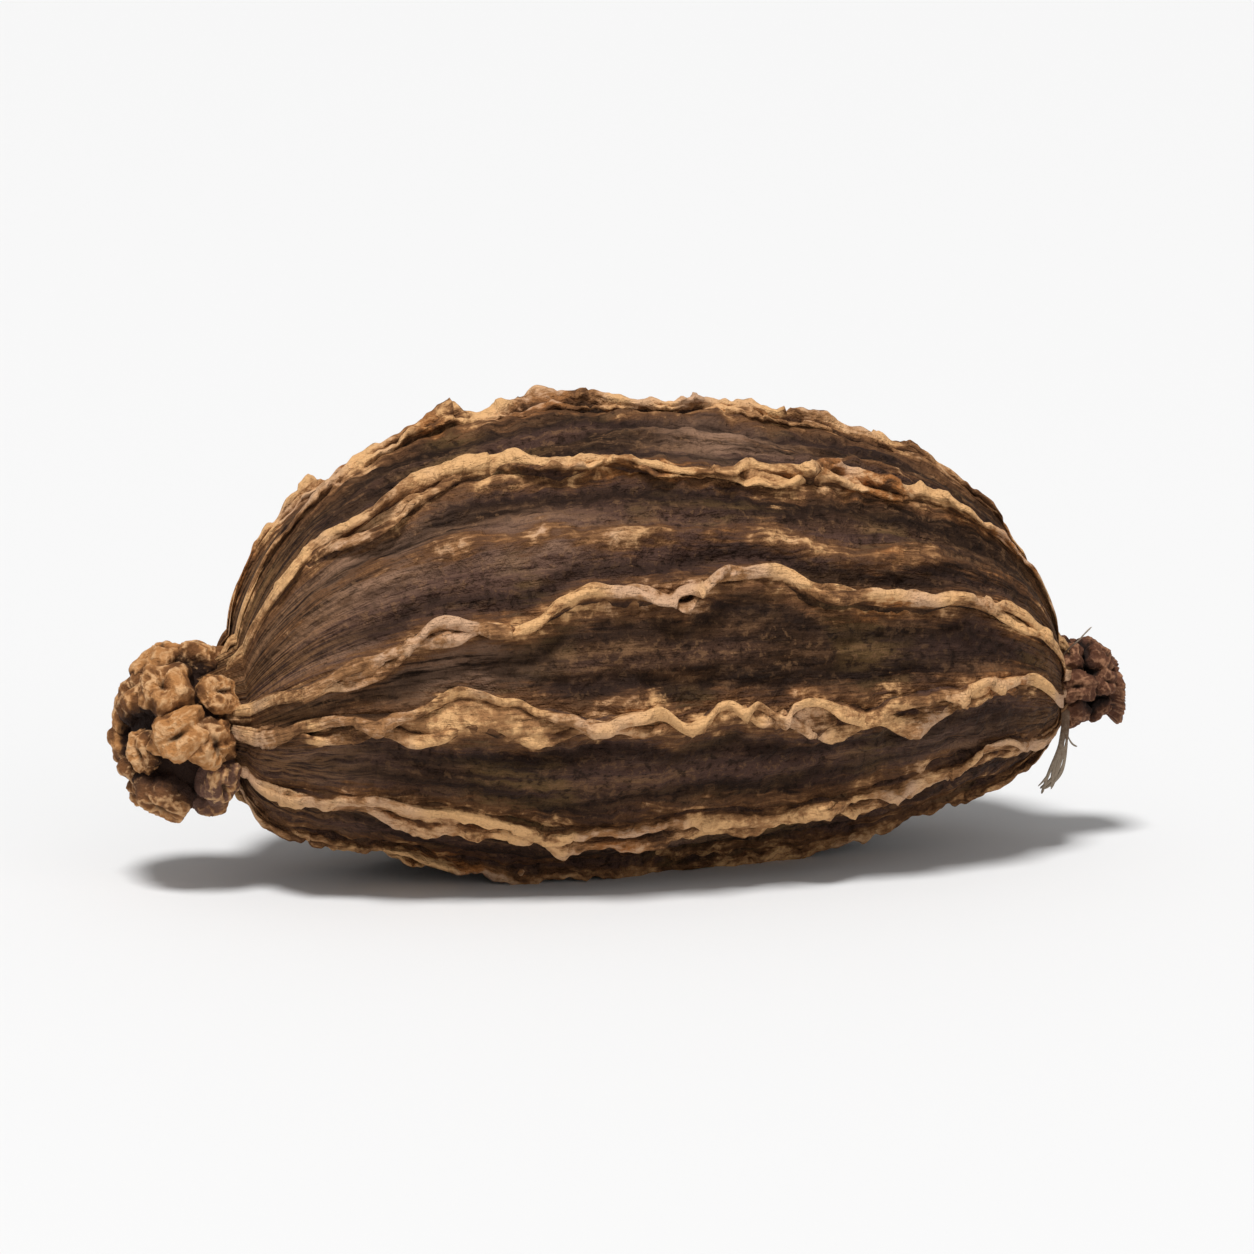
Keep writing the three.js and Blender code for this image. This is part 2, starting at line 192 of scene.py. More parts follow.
# The random draws. Large uneven factors scatter the digits of a sine, and each seed has its own numbers.
SCATTER_ALONG = 12.9898
SCATTER_START = 4.1
SCATTER_UP = 43758.5453
DRAWS_PER_SEED = 61
LATTICE = 64
RIB_SEEDS = {
    "meander": 100, "ruffle": 120, "minor": 140, "swell": 160, "scallop": 180, "minor_shown": 200,
    "link": 260, "weaker": 300, "lean": 320, "minor_stray": 360, "minor_uneven": 380,
}
PARTING_SEED = 700
PARTING_SEEDS = {"start": 0, "length": 200, "distance": 400, "filled": 600}
PATCH_SEEDS = {"place": 1300, "cell": 1320, "length": 1340, "width": 1360, "strength": 1380}
SKIN_SEEDS = {"stray": 10, "veins": 11, "wrinkles": 12, "gathers": 13, "grain": 14, "fine_grain": 15}


def draw(n):
    """A repeatable number from 0 to 1 for each whole number: the fraction of a large sine."""
    x = np.sin(n * SCATTER_ALONG + SCATTER_START) * SCATTER_UP
    return x - np.floor(x)


def between(n, low, high):
    """The draw of n, from low to high."""
    return low + (high - low) * draw(n)


def smoothstep(low, high, x):
    """0 below low, 1 above high, and 3t^2 - 2t^3 between them."""
    t = np.clip((x - low) / (high - low), 0, 1)
    return t * t * (3 - 2 * t)


def wave(seed, s):
    """A smooth random curve from -1 to 1: one draw at each whole s, eased from one to the next."""
    whole = np.floor(s)
    eased = smoothstep(0, 1, s - whole)
    here, after = (2 * draw(seed * DRAWS_PER_SEED + whole + step) - 1 for step in (0, 1))
    return here + (after - here) * eased


def lattice_noise(x, y, z, seed):
    """Random values from -1 to 1 on a unit lattice, blended by 6t^5 - 15t^4 + 10t^3 along each way."""
    values = np.random.default_rng(seed).uniform(-1, 1, (LATTICE, LATTICE, LATTICE))
    places = [np.asarray(p, float) for p in np.broadcast_arrays(x, y, z)]
    cells = [np.floor(p).astype(int) for p in places]
    total = 0.0
    for corner in np.ndindex(2, 2, 2):
        weight = 1.0
        for place, cell, side in zip(places, cells, corner):
            t = place - cell
            t = t * t * t * (t * (6 * t - 15) + 10)
            weight = weight * (t if side else 1 - t)
        at = tuple((cell + side) % LATTICE for cell, side in zip(cells, corner))
        total = total + weight * values[at]
    return total


def cell_noise(place, cell, seed, aside=0.0, above=0.0):
    """Lattice noise at a place (across, up, along) in cells that are (wide, long), moved by some cells."""
    wide, long = cell
    across, up, along = place
    return lattice_noise(across / wide + aside, up / wide + above, along / long, seed)


def skin_radius(u):
    """Radius of the skin without its ribs at share u of the length: an ellipse with its own taper on each
    side of the widest place, and a neck at each end."""
    left = u < WIDEST_AT
    d = np.where(left, (WIDEST_AT - u) / WIDEST_AT, (u - WIDEST_AT) / (1 - WIDEST_AT))
    taper = np.where(left, CROWN_SIDE_TAPER, TUFT_SIDE_TAPER)
    neck = np.where(left, CROWN_NECK_RADIUS, TUFT_NECK_RADIUS)
    return np.hypot(SKIN_RADIUS * np.maximum(0, 1 - d * d) ** taper, neck * d * d)


def axis_point(u):
    """The pod's middle line: along X, bowed by a parabola, and drooping at both ends by a sixth power."""
    d = 2 * u - 1
    x = BODY_START_X + (BODY_END_X - BODY_START_X) * u
    return x, AXIS_BOW * (1 - d * d) - AXIS_BOW / 2, AXIS_HEIGHT - AXIS_DROOP * d ** AXIS_BEND


def main_angle(i, u):
    """Angle of main rib i: its even place, a slow wander and a quick ruffle. The ends of one rib come down
    by cos^2."""
    slow = MEANDER * wave(i + RIB_SEEDS["meander"], MEANDER_WAVES * u)
    quick = RUFFLE * wave(i + RIB_SEEDS["ruffle"], RUFFLE_WAVES * u)
    bowed = BOWED_DOWN * np.cos(np.pi * u) ** 2 if i == BOWED_RIB else 0
    return FIRST_RIB + i * CELL + slow + quick + bowed


def minor_angle(i, u):
    """Angle of the minor rib after main rib i: the middle of the panel, with a slow wander."""
    aside = STRONG_ASIDE if i == STRONG_MINOR else 0
    slow = MEANDER * wave(i + RIB_SEEDS["minor"], MINOR_WAVES * u)
    return FIRST_RIB + (i + 0.5) * CELL + aside + slow


def main_height(i, u):
    """Height of main rib i: highest on the belly, swelling slowly, with a scalloped top."""
    swell = 1 + SWELL * wave(i + RIB_SEEDS["swell"], SWELL_WAVES * u)
    scallop = 1 + SCALLOP * wave(i + RIB_SEEDS["scallop"], SCALLOP_WAVES * u)
    belly = NECK_SHARE + (1 - NECK_SHARE) * skin_radius(u) / SKIN_RADIUS
    return MAIN_HEIGHT * swell * scallop * belly


def minor_height(i, u):
    """Height of a minor rib, which comes and goes along the length. One of them runs all along."""
    shown, fading = (STRONG_SHOWN, STRONG_FADING) if i == STRONG_MINOR else (MINOR_SHOWN, MINOR_FADING)
    shown = np.maximum(0, shown + fading * wave(i + RIB_SEEDS["minor_shown"], MINOR_WAVES * u))
    return MINOR_HEIGHT * shown * skin_radius(u) / SKIN_RADIUS


for rib in range(FIRST_UNSEEN_RIB, MAIN_RIBS):
    for part in range(DRAWN_PARTINGS):
        seed = PARTING_SEED + 10 * rib + part
        start = 0.04 + 0.24 * part + between(seed + PARTING_SEEDS["start"], 0.0, 0.08)
        end = start + between(seed + PARTING_SEEDS["length"], 0.05, 0.17)
        half_distance = between(seed + PARTING_SEEDS["distance"], 0.06, 0.26)
        PARTED.append((rib, start, end, 1, half_distance, draw(seed + PARTING_SEEDS["filled"])))


def parting(i, u):
    """Half the distance between rib i's two strands, in mm, how far a web fills the gap, and where the
    strands meet in a knot. Along each stretch in PARTED the distance is |sin|^0.8, an arch for each link."""
    apart = np.zeros_like(u)
    web = np.zeros_like(u)
    knot = np.zeros_like(u)
    for rib, start, end, links, half_distance, filled in PARTED:
        if rib != i:
            continue
        along = (u + 0.010 * wave(i + RIB_SEEDS["link"], 14 * u) - start) / (end - start)
        arch = np.abs(np.sin(np.pi * links * np.clip(along, 0, 1))) ** 0.8
        apart = np.maximum(apart, half_distance * arch)
        web = np.maximum(web, filled * arch)
        knot = np.maximum(knot, (1 - arch) ** 4 * (np.abs(along - 0.5) < 0.6))
    return apart * (0.4 + 0.6 * skin_radius(u) / SKIN_RADIUS), web, knot


for patch in range(DRAWN_PATCHES):
    PALE_PATCHES.append((
        between(PATCH_SEEDS["place"] + patch, 0.05, 0.9),
        between(PATCH_SEEDS["cell"] + patch, 4.3, 10.8),
        between(PATCH_SEEDS["length"] + patch, 0.05, 0.12),
        between(PATCH_SEEDS["width"] + patch, 0.2, 0.45),
        between(PATCH_SEEDS["strength"] + patch, 0.5, 1.0),
    ))


def paleness(u, a):
    """How much paler the skin is: the strongest patch's exp(-distance^2) in its half lengths."""
    most = np.zeros_like(a)
    for place, cell, half_length, half_width, strength in PALE_PATCHES:
        round_it = turn(a, FIRST_RIB + cell * CELL) / (half_width * CELL)
        most = np.maximum(most, strength * np.exp(-((u - place) / half_length) ** 2 - round_it ** 2))
    return most


def turn(a, b):
    """The difference of two angles, from -pi to pi."""
    return (a - b + np.pi) % (2 * np.pi) - np.pi


def plain_skin(u, a):
    """Radius of the skin under its ribs: its three valves, panels that bulge between the ribs, and broad
    shallow dimples from two crossed sines."""
    in_cell = turn(a * MAIN_RIBS, FIRST_RIB * MAIN_RIBS) / (2 * np.pi)
    bulge = PANEL_BULGE * np.sin(np.pi * np.abs(in_cell)) ** 2
    dimple = DIMPLE * np.sin(2.3 + 9 * u + 2 * a) * np.sin(1.1 + 6 * u - 3 * a)
    valves = 1 + VALVE_SWELL * np.cos(VALVES * a + VALVE_PLACE)
    return skin_radius(u) * (valves + (bulge + dimple) / SKIN_RADIUS)


def on_pod(u, a, radius):
    """The point at a radius from the pod's middle line."""
    x, y, z = axis_point(u)
    return np.stack(np.broadcast_arrays(x, y - radius * np.cos(a), z + radius * np.sin(a)), axis=2)


def crowded(count):
    """Places from 0 to 1 that stand closer together at both ends, by a share of a cosine."""
    even = np.arange(count + 1) / count
    return (even + END_CROWDING * ((0.5 - 0.5 * np.cos(np.pi * even)) - even))[:, None]


def end_share(u):
    """1 at the necks and 0 along the belly."""
    return 1 - smoothstep(0.0, 0.16, u) * (1 - smoothstep(0.9, 1.0, u))


def skin_surface():
    """Every point of the skin and what the finish needs to know there. The radius is the plain skin's, with
    the ridge or web under each rib, exp(-share^4), the minor ribs, veins, wrinkles, gathers and grain."""
    u = crowded(SKIN_ROWS)
    a = FIRST_RIB + 2 * np.pi * np.arange(SKIN_COLUMNS)[None, :] / SKIN_COLUMNS + 0 * u
    plain = plain_skin(u, a)
    size = skin_radius(u) / SKIN_RADIUS
    narrow = np.hypot(size, NARROWEST)
    ridge = np.zeros_like(a)
    crest = np.zeros_like(a)
    beside = np.full_like(a, 9.0)
    for i in range(MAIN_RIBS):
        distance = np.abs(turn(a, main_angle(i, u))) * skin_radius(u)
        apart, web, _ = parting(i, u)
        share = distance / (FOOT_HALF_WIDTH * narrow + apart)
        tall = main_height(i, u)
        foot = tall * FOOT_RIDGE * np.exp(-share ** 4)
        inside = np.exp(-(distance / (apart + 0.05)) ** 4)
        filled = tall * WEB_RISE * web * inside
        sunk = -0.5 * foot * (1 - web) * inside * (apart > 0.05)
        ridge = np.maximum(ridge, foot + filled + sunk)
        flank = np.exp(-(share / FLANK_REACH) ** 2.5)
        crest = np.maximum(crest, FLANK_WORN * flank + 0.4 * web * inside)
        beside = np.minimum(beside, distance - apart)

        off = turn(a, minor_angle(i, u)) * skin_radius(u)
        off = off + MINOR_STRAY * wave(i + RIB_SEEDS["minor_stray"], 24 * u)
        low = minor_height(i, u) * (1 + MINOR_UNEVEN * wave(i + RIB_SEEDS["minor_uneven"], 33 * u))
        half = MINOR_HALF_WIDTH * narrow * (STRONG_WIDER if i == STRONG_MINOR else 1)
        shape = np.exp(-(np.abs(off) / half) ** 1.8)
        worn = MINOR_WORN * shape * np.minimum(1, low / MINOR_HEIGHT)
        crest = np.where(low * shape > ridge, worn, crest)
        ridge = np.maximum(ridge, low * shape)

    across, up = SKIN_RADIUS * np.cos(a), SKIN_RADIUS * np.sin(a)
    along = axis_point(u)[0] + 0 * a
    place = (across, up, along)
    stray = cell_noise(place, STRAY_CELL, SKIN_SEEDS["stray"])
    veins = 1 - 2 * np.abs(cell_noise(place, VEIN_CELL, SKIN_SEEDS["veins"], 0.3 * stray, 0.3 * stray))
    wrinkles = cell_noise(place, WRINKLE_CELL, SKIN_SEEDS["wrinkles"], 0.4 * stray)
    wrinkle = WRINKLE * (0.55 * veins + 0.6 * wrinkles)
    near_rib = np.exp(-((beside - 0.5) / 0.35) ** 2)
    gather = PUCKER * near_rib * cell_noise(place, PUCKER_CELL, SKIN_SEEDS["gathers"])
    grain = cell_noise(place, GRAIN_CELL, SKIN_SEEDS["grain"])
    grain = GRAIN * (grain + 0.7 * cell_noise(place, FINE_GRAIN_CELL, SKIN_SEEDS["fine_grain"]))
    points = on_pod(u, a, plain + ridge + size * (wrinkle + gather) + grain)
    looks = {
        "crest": crest,
        # painted shade: a near-black line on the skin just beside each rib, where the rib's shadow falls
        "hollow": np.exp(-((beside - 0.72) / 0.24) ** 2),
        "end": end_share(u) + 0 * a,
        "pale": paleness(u, a),
        "grain": np.stack([across, up, along / GRAIN_STRETCH], axis=2),
    }
    return points, looks


def inside_neck(ring, centre, along):
    """A neck's last ring drawn in towards its centre and moved along, where the crown or tuft hides it."""
    inner = np.array(centre) + NECK_INSIDE_RADIUS * (ring - np.array(centre))
    inner[:, 0] = centre[0] + along
    return inner


def with_necks(points, looks):
    """The rings of the skin with one more hidden ring at each end."""
    first = inside_neck(points[0], axis_point(0.0), -NECK_INSIDE * CROWN_NECK_RADIUS)
    last = inside_neck(points[-1], axis_point(1.0), NECK_INSIDE * TUFT_NECK_RADIUS)
    longer = np.concatenate([first[None], points, last[None]])
    return longer, {name: np.concatenate([v[:1], v, v[-1:]]) for name, v in looks.items()}


def rings(points, looks):
    """The points, faces and looks of a closed surface from a grid whose rows are rings, with the middle of
    the first and of the last ring as the point that closes each end."""
    rows, columns = points.shape[:2]
    ends = [points[0].mean(axis=0)[None], points[-1].mean(axis=0)[None]]
    every = np.concatenate([points.reshape(-1, 3), *ends])
    row, column = np.meshgrid(np.arange(rows - 1), np.arange(columns), indexing="ij")
    following = (column + 1) % columns
    quads = np.stack([row * columns + column, row * columns + following,
                      (row + 1) * columns + following, (row + 1) * columns + column], axis=2)
    ring = np.arange(columns)
    after = (ring + 1) % columns
    start_fan = np.stack([np.full(columns, rows * columns), after, ring], axis=1)
    bottom = (rows - 1) * columns
    end_fan = np.stack([np.full(columns, rows * columns + 1), bottom + ring, bottom + after], axis=1)
    faces = quads.reshape(-1, 4).tolist() + start_fan.tolist() + end_fan.tolist()
    flat = {}
    for look, value in looks.items():
        listed = value.reshape(rows * columns, -1)
        ends = [listed[:columns].mean(axis=0)[None], listed[-columns:].mean(axis=0)[None]]
        flat[look] = np.concatenate([listed, *ends])
    return every, faces, flat


def mesh_of(name, points, faces, looks):
    """A smooth mesh in metres with its looks as attributes of its points."""
    mesh = bpy.data.meshes.new(name)
    mesh.from_pydata(points * MM, [], faces)
    for look, value in looks.items():
        vector = value.shape[1] == 3
        attribute = mesh.attributes.new(look, "FLOAT_VECTOR" if vector else "FLOAT", "POINT")
        attribute.data.foreach_set("vector" if vector else "value", value.astype(np.float32).ravel())
    mesh.shade_smooth()
    return mesh


def add_piece(name, mesh, finish):
    """Puts a mesh into the scene as an object at the origin, with its finish."""
    mesh.materials.append(finish)
    piece = bpy.data.objects.new(name, mesh)
    bpy.context.scene.collection.objects.link(piece)
    return piece


class Wire:
    """A number, colour or vector on its way through a material. + - and * add Math nodes."""

    def __init__(self, finish, socket):
        self.finish = finish
        self.socket = socket

    def _math(self, operation, first, second):
        return self.finish.node("ShaderNodeMath", {"operation": operation}, {0: first, 1: second})

    def __add__(self, other):
        return self._math("ADD", self, other)

    def __radd__(self, other):
        return self._math("ADD", other, self)

    def __sub__(self, other):
        return self._math("SUBTRACT", self, other)

    def __rsub__(self, other):
        return self._math("SUBTRACT", other, self)

    def __mul__(self, other):
        return self._math("MULTIPLY", self, other)

    def __rmul__(self, other):
        return self._math("MULTIPLY", other, self)

    def between(self, low, high, to_low=0.0, to_high=1.0):
        """This number eased from low..high to to_low..to_high."""
        settings = {"interpolation_type": "SMOOTHSTEP"}
        values = {"Value": self, "From Min": low, "From Max": high, "To Min": to_low, "To Max": to_high}
        return self.finish.node("ShaderNodeMapRange", settings, values)


class Finish:
    """A material with one Principled shader, and the nodes that lead to it."""

    def __init__(self, name):
        self.material = bpy.data.materials.new(name)
        self.material.use_nodes = True
        self.tree = self.material.node_tree
        self.shader = next(n for n in self.tree.nodes if n.type == "BSDF_PRINCIPLED")

    def node(self, kind, settings, values, output=0):
        """Adds a node: its settings first, then the value or wire of each socket. Gives one output."""
        node = self.tree.nodes.new(kind)
        for name, value in settings.items():
            setattr(node, name, value)
        for key, value in values.items():
            self.feed(self.find(node, key), value)
        outputs = [o for o in node.outputs if o.enabled]
        return Wire(self, outputs[output])

    def find(self, node, key):
        """A node's input by its place or by its identifier or name."""
        if isinstance(key, int):
            return node.inputs[key]
        enabled = [i for i in node.inputs if i.enabled]
        return next(i for i in enabled if key in (i.identifier, i.name))

    def feed(self, socket, value):
        """Links a wire to a socket, or sets the socket to a value."""
        if isinstance(value, Wire):
            self.tree.links.new(value.socket, socket)
        elif isinstance(value, tuple) and socket.type == "RGBA":
            socket.default_value = (*value, 1.0)
        else:
            socket.default_value = value

    def attribute(self, name, vector=False):
        """One of the mesh's looks."""
        output = 1 if vector else 2
        return self.node("ShaderNodeAttribute", {"attribute_name": name}, {}, output)

    def noise(self, vector, scale, detail=3.0, roughness=0.55):
        """Fractal noise from 0 to 1 at a vector."""
        values = {"Vector": vector, "Scale": scale, "Detail": detail, "Roughness": roughness}
        return self.node("ShaderNodeTexNoise", {}, values)

    def mix(self, factor, first, second):
        """One colour into another by a factor."""
        values = {"Factor_Float": factor, "A_Color": first, "B_Color": second}
        return self.node("ShaderNodeMix", {"data_type": "RGBA"}, values)

    def object_place(self, per_mm):
        """Object coordinates in millimetres, times a number."""
        place = self.node("ShaderNodeTexCoord", {}, {}, 3)
        scale = per_mm / MM
        return self.node("ShaderNodeVectorMath", {"operation": "SCALE"}, {0: place, "Scale": scale})

    def bump(self, height, depth_mm, normal=None):
        """A bump of that depth where the height is 1."""
        values = {"Height": height, "Distance": depth_mm * MM, "Strength": 1.0}
        if normal is not None:
            values["Normal"] = normal
        return self.node("ShaderNodeBump", {}, values)

    def set(self, **sockets):
        """Feeds the shader's own sockets, named with _ for a space."""
        for name, value in sockets.items():
            self.feed(self.shader.inputs[name.replace("_", " ")], value)
        return self.material


PANEL_DARK = (0.015, 0.006, 0.002)
PANEL_BROWN = (0.062, 0.028, 0.012)
PANEL_MAUVE = (0.080, 0.040, 0.029)
PANEL_TAN = (0.20, 0.102, 0.046)
PANEL_OLIVE = (0.120, 0.068, 0.022)
PANEL_PALE = (0.30, 0.172, 0.108)
CREST_RUST = (0.105, 0.045, 0.018)
CREST_BROWN = (0.31, 0.150, 0.060)
CREST_ORANGE = (0.34, 0.130, 0.036)
CREST_GOLD = (0.66, 0.375, 0.165)
CREST_PINK = (0.48, 0.300, 0.205)
# painted shade, near black, for the skin beside each rib and the foot of each strand
RIB_SHADE_BROWN = (0.010, 0.004, 0.002)


def husk_finish():
    """Dark leathery skin, streaked along the pod, with pale worn crests, and painted shade, near black,
    beside each rib and at its foot.
    """
    finish = Finish("husk")
    grain = finish.attribute("grain", vector=True)
    crest = finish.attribute("crest")
    hollow = finish.attribute("hollow")
    end = finish.attribute("end")
    pale = finish.attribute("pale")
    place = finish.object_place(1.0)
    broad = finish.noise(grain, 0.5, 2.0)
    streak = finish.noise(grain, 2.6, 4.0, 0.65)
    fine = finish.noise(grain, 9.0, 3.0, 0.6)
    speck = finish.noise(place, 4.6, 3.0, 0.6)
    colour = finish.mix(streak.between(0.36, 0.62), PANEL_DARK, PANEL_BROWN)
    colour = finish.mix(broad.between(0.45, 0.62) * 0.8, colour, PANEL_MAUVE)
    hue = finish.noise(place, 0.27, 2.0)
    other_hue = finish.noise(place, 0.36, 2.0)
    colour = finish.mix(other_hue.between(0.52, 0.64) * streak.between(0.40, 0.60) * 0.7, colour, PANEL_OLIVE)
    tan = streak.between(0.54, 0.70) * 0.6 + fine.between(0.54, 0.72) * 0.35
    colour = finish.mix(tan, colour, PANEL_TAN)
    colour = finish.mix(speck.between(0.55, 0.66) * 0.45, colour, PANEL_TAN)
    colour = finish.mix(speck.between(0.34, 0.47, 0.8, 0.0), colour, PANEL_DARK)
    colour = finish.mix(pale * (streak * 0.6 + fine * 0.8).between(0.50, 0.82), colour, PANEL_PALE)
    # painted shade beside each rib and at the foot of each strand, from the hollow attribute
    colour = finish.mix(hollow * 0.7, colour, RIB_SHADE_BROWN)
    colour = finish.mix(end * fine.between(0.40, 0.60) * 0.5, colour, CREST_BROWN)
    worn = finish.noise(place, 0.75, 3.0, 0.65)
    edge = (crest + (fine - 0.5) * 0.8 + (worn - 0.5) * 0.6).between(0.22, 0.52)
    colour = finish.mix(edge, colour, CREST_RUST)
    middle = (crest + (fine - 0.5) * 1.0 + (worn - 0.5) * 0.9 + (speck - 0.5) * 0.5).between(0.40, 0.78)
    brown = finish.mix(hue.between(0.36, 0.48, 1.0, 0.0), CREST_BROWN, CREST_ORANGE)
    colour = finish.mix(middle, colour, brown)
    top = (crest + (worn - 0.5) * 1.9 + (speck - 0.5) * 1.0 + (fine - 0.5) * 0.9).between(0.60, 1.04)
    gold = finish.mix(other_hue.between(0.38, 0.56, 0.7, 0.0), CREST_GOLD, CREST_PINK)
    colour = finish.mix(top, colour, gold)
    relief = finish.bump(fine * 0.5 + speck * 1.3, 0.14)
    relief = finish.bump(streak, 0.10, relief)
    roughness = 0.80 - top * 0.18 - streak.between(0.5, 0.8) * 0.1
    return finish.set(Base_Color=colour, Roughness=roughness, Normal=relief, Specular_IOR_Level=0.14)


husk = husk_finish()
skin_points, skin_looks = with_necks(*skin_surface())


# The main ribs. On the real pod they are thin papery wings of the wall itself, which dried into ruffles.
# Each stands on a ridge of the skin as one or two strands, with a thick curled edge worn pale and gold.
RIB_ROWS = 470
RIB_AROUND = 28
RIB_SUNK = -0.4  # where a strand starts below the skin, as a share of its height
THIN = 0.075  # half thickness of a rib's wing
FOOT_FLARE = 0.22  # added to it at the foot
EDGE_BEAD = 0.085  # added to it at the edge
CURL = 0.40  # how far the edge leans to one side, most
SPREAD = 0.10  # how far the strands of a parted rib lean apart
NICK = 0.13  # of the ragged edge, as a share of the height
RAGGED = 0.05  # of the uneven surface
OVER_THE_END = 0.035  # how far a rib runs on past both necks, as a share of the length
DRAWN_IN = 0.7  # how much nearer to the middle line it is there
STRAND_SEED = 400
SEEDS_PER_SIDE = 15
STRAND_SEEDS = {"nick": 40, "notch": 80, "lean": 120, "flutter": 160, "bead": 200, "worn": 240}
ROUGH_SEED = 30
RIPPLE_SEED = 50
NOISE_START = 20  # keeps the places of the noise above 0


def rib_strand(i, side):
    """Every point of one strand of rib i. Its section is a closed loop round a curve that rises from
    RIB_SUNK to 1 and leans by lean * v^2, with v = 0 at the skin and 1 at the edge, and its half thickness
    is THIN, more at the foot and in a bead below the edge, times sin^0.5 so that both ends are round."""
    stretched = (1 + 2 * OVER_THE_END) * crowded(RIB_ROWS) - OVER_THE_END
    u = np.clip(stretched, 0, 1)
    past = np.abs(stretched - u) / OVER_THE_END
    seed = i + STRAND_SEED + SEEDS_PER_SIDE * side
    loop = 2 * np.pi * np.arange(RIB_AROUND)[None, :] / RIB_AROUND
    v = RIB_SUNK + (1 - RIB_SUNK) * (1 - np.cos(loop)) / 2
    apart, _, knot = parting(i, u)
    radius = skin_radius(u)
    narrow = 0.45 + 0.55 * radius / SKIN_RADIUS
    parted = smoothstep(0.02, 0.14, apart)

    lower = 0.25 + 0.2 * wave(i + RIB_SEEDS["weaker"], 9 * u) if side < 0 else 0.1 * parted
    nicks = NICK * wave(seed + STRAND_SEEDS["nick"], 66 * u)
    notches = NICK * wave(seed + STRAND_SEEDS["notch"], 33 * u)
    edge = 1 + (nicks + notches) + 0.16 * knot
    tall = main_height(i, u) * (1 - lower) * edge * (1 - 0.7 * past)
    lean = wave(i + RIB_SEEDS["lean"], 15 * u) * 0.75 + wave(seed + STRAND_SEEDS["lean"], 21 * u) * 0.35
    lean = lean + wave(seed + STRAND_SEEDS["flutter"], 43 * u) * 0.25
    lean = CURL * lean + side * SPREAD * parted
    bead = EDGE_BEAD * (1 + 0.7 * wave(seed + STRAND_SEEDS["bead"], 30 * u) + 0.8 * knot)
    half = THIN + FOOT_FLARE * np.exp(-np.maximum(v, 0) / 0.22) + bead * np.exp(-((v - 0.86) / 0.16) ** 2)
    half = half * (0.6 + 0.4 * narrow) * np.abs(np.sin(loop)) ** 0.5 * np.sign(np.sin(loop))
    rise = tall * v * (1 - 0.25 * np.minimum(1, np.abs(lean / tall)) ** 2)
    sideways = side * apart + lean * np.maximum(v, 0) ** 2 * narrow - half
    a = main_angle(i, u) + sideways / np.maximum(radius, 1)
    along = stretched * (BODY_END_X - BODY_START_X)
    across, up = sideways + NOISE_START, rise + NOISE_START
    rough = lattice_noise(across / 0.17, up / 0.17, along / 0.15 + 7 * side, ROUGH_SEED + i)
    ripple = lattice_noise(across / 0.10, up / 0.10, along / 0.8 + 7 * side, RIPPLE_SEED + i)
    full = plain_skin(u, a) + rise + RAGGED * (rough + 0.6 * ripple) * smoothstep(0.1, 0.7, v)
    points = on_pod(u, a, full * (1 - DRAWN_IN * past * past))
    points[..., 0] += along - u * (BODY_END_X - BODY_START_X)
    uneven = 1 + 0.4 * wave(seed + STRAND_SEEDS["worn"], 28 * u)
    round_skin = SKIN_RADIUS + rise
    looks = {
        "crest": 0.10 + 0.80 * smoothstep(0.15, 1.05, v) * uneven - 0.12 * (side < 0),
        # painted shade at the foot of the strand, where it meets the skin
        "hollow": 0.8 * np.exp(-((v - 0.05) / 0.25) ** 2) + 0 * u,
        "end": end_share(u) + 0 * v,
        "pale": 0 * (u + v),
        "grain": np.stack(np.broadcast_arrays(
            round_skin * np.cos(a), round_skin * np.sin(a), axis_point(u)[0] / GRAIN_STRETCH,
        ), axis=2),
    }
    return points, looks


def joined(parts):
    """Several closed meshes of (points, faces, looks) as one."""
    points, faces, looks, used = [], [], {}, 0
    for part_points, part_faces, part_looks in parts:
        points.append(part_points)
        faces.extend([[used + corner for corner in face] for face in part_faces])
        for name, value in part_looks.items():
            looks.setdefault(name, []).append(value)
        used += len(part_points)
    return np.concatenate(points), faces, {name: np.concatenate(v) for name, v in looks.items()}


def rib_mesh(i):
    """The two strands of rib i in one mesh."""
    strands = [rings(*rib_strand(i, side)) for side in (1, -1)]
    return mesh_of(f"husk_rib_{i + 1}", *joined(strands))


# The calyx crown. It is the dried base of the flower, left on the end of the capsule: a tight cluster of
# puckered lobes with folded lips round a pit, paler and more golden than the skin. The pit, the creases
# and the sides of the lobes that face the pit are painted near black as shade.
CROWN = {
    "centre": (-11.4, 0, -0.4), "stretch": (0.9, 1.0, 1.05), "core": 1.45, "outward": -1,
    "rings": [
        {"petals": 5, "tilt": 0.60, "reach": 1.70, "size": 0.50, "seed": 40},
        {"petals": 7, "tilt": 1.20, "reach": 1.84, "size": 0.66, "seed": 500},
        {"petals": 8, "tilt": 1.90, "reach": 1.80, "size": 0.64, "seed": 560},
    ],
}
PETAL_SEEDS = {"tilt": 0, "place": 10, "size": 20, "spin": 30, "long": 40, "groove": 50, "tint": 60}
LOBE_SEEDS = {"wander": 24, "broad": 25, "folds": 26, "small": 27}
LOBE_ROWS = 40
LOBE_COLUMNS = 56
CORE_ROWS = 24
CORE_COLUMNS = 36
PETAL_TILT = (0.90, 1.10)  # of its ring's tilt, least and most
PETAL_PLACE = (-0.22, 0.22)  # away from its even place, as a share of the distance between two
PETAL_SIZE = (0.82, 1.18)
PETAL_SUNK = 0.35  # how far it is sunk towards the centre, as a share of its size


def direction(off, turned, outward):
    """Unit vector at an angle off the way the end faces, turned round that way."""
    parts = [outward * np.cos(off), -np.sin(off) * np.cos(turned), np.sin(off) * np.sin(turned)]
    return np.stack(np.broadcast_arrays(*parts), axis=-1)


